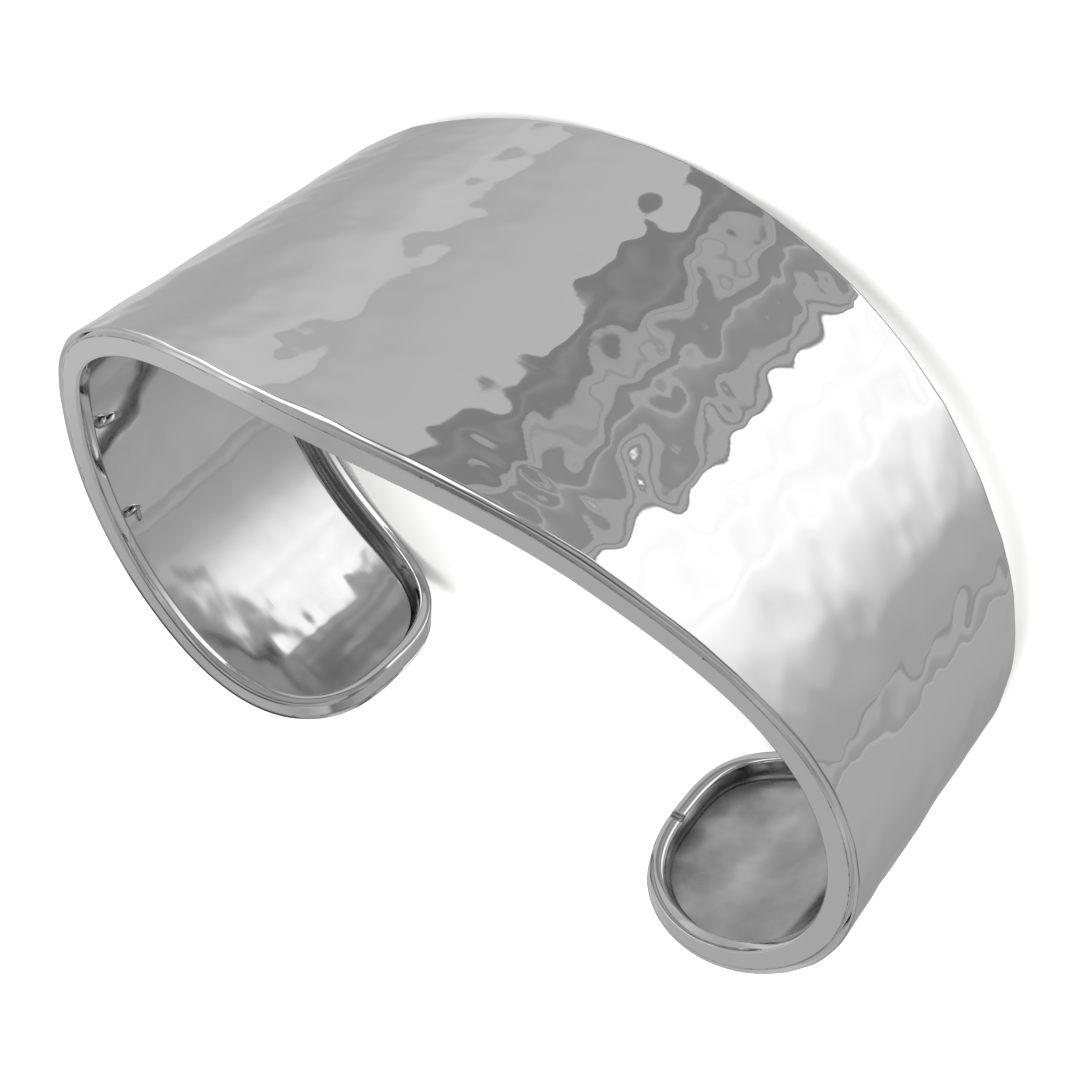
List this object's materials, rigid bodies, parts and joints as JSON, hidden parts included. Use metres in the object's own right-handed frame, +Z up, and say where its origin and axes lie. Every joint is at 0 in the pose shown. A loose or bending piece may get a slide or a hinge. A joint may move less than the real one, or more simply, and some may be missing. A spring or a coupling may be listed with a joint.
{
  "type": "cuff bracelet",
  "caption": "Open cuff bracelet of hammered silver, wide over the wrist and narrowing to rounded ends, with a raised rim soldered all round its inside.",
  "frame": {"origin": "middle of the bounding box at its bottom, on the level surface that the cuff lies on", "axes": "+Z up, along the wrist; -Y towards the wide front, +Y towards the gap between the ends; +X along the longest side, towards the end whose inside has a place for a stamp"},
  "size_m": [0.0688, 0.0508, 0.0376],
  "materials": {
    "hammered_silver": "polished sterling silver, hammered outside"
  },
  "bodies": {
    "root": {"hammered_cuff": "hammered_silver"}
  },
  "joints": []
}
